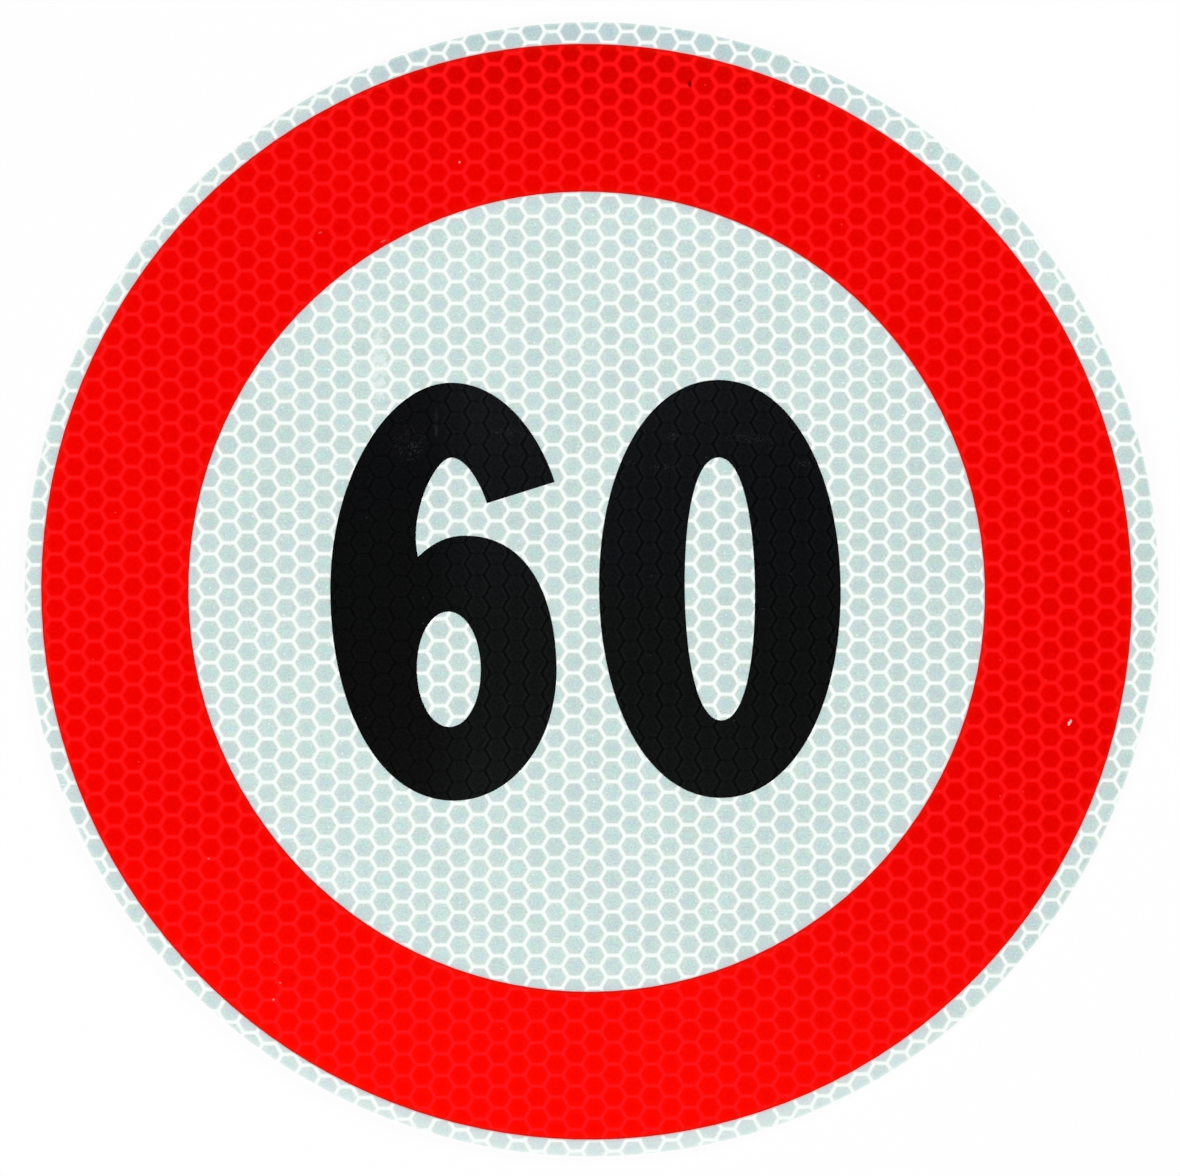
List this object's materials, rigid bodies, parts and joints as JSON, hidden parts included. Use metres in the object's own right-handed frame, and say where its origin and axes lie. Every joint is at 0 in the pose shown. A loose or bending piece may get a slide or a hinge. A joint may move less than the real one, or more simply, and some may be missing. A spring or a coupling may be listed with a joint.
{
  "type": "vehicle speed limit plate",
  "caption": "Round plate for the back of a vehicle that shows its speed limit: honeycomb reflective sheeting on a metal blank, printed with a red border and black numerals.",
  "frame": {"origin": "centre of the back face, on which the plate lies", "axes": "+Z out of the printed face, +Y to the top of the numerals, +X to the right of the number"},
  "size_m": [0.2, 0.2, 0.0014],
  "materials": {
    "bare_aluminium": "rolled mill finish, lightly brushed",
    "white_sheeting": "pale honeycomb reflective sheeting with lighter seal lines",
    "red_ink": "transparent red screen ink over the sheeting",
    "black_ink": "opaque black screen ink over the sheeting"
  },
  "bodies": {
    "root": {"base_plate": "bare_aluminium", "reflective_sheet": "white_sheeting", "red_border": "red_ink", "numeral_six": "black_ink", "numeral_zero": "black_ink"}
  },
  "joints": []
}
